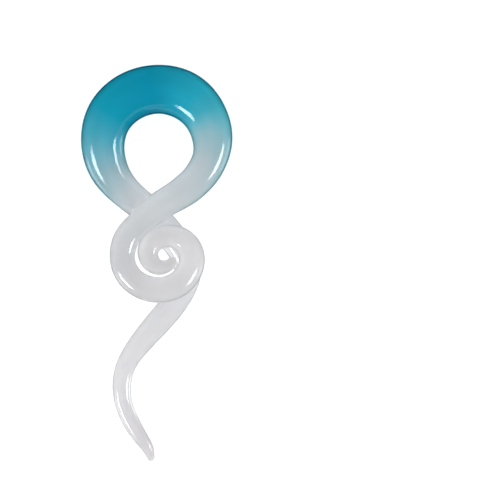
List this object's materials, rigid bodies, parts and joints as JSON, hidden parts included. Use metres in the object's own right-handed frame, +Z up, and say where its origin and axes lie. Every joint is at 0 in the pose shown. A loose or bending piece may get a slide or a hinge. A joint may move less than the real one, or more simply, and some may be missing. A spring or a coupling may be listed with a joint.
{
  "type": "spiral ear taper",
  "caption": "Glass spiral ear taper: a thick round loop that thins into a curved pointed tail behind and a curl in front.",
  "frame": {"origin": "on the surface the piece lies on, under the middle of its outline", "axes": "+Z up, from the flat back to the curl; +Y along the piece, from the tail tip to the top of the loop; +X to the side on which the loop rises into the front crossing"},
  "size_m": [0.0246, 0.0646, 0.0132],
  "materials": {
    "taper_glass": "gloss"
  },
  "bodies": {
    "root": {"glass_taper": "taper_glass"}
  },
  "joints": []
}
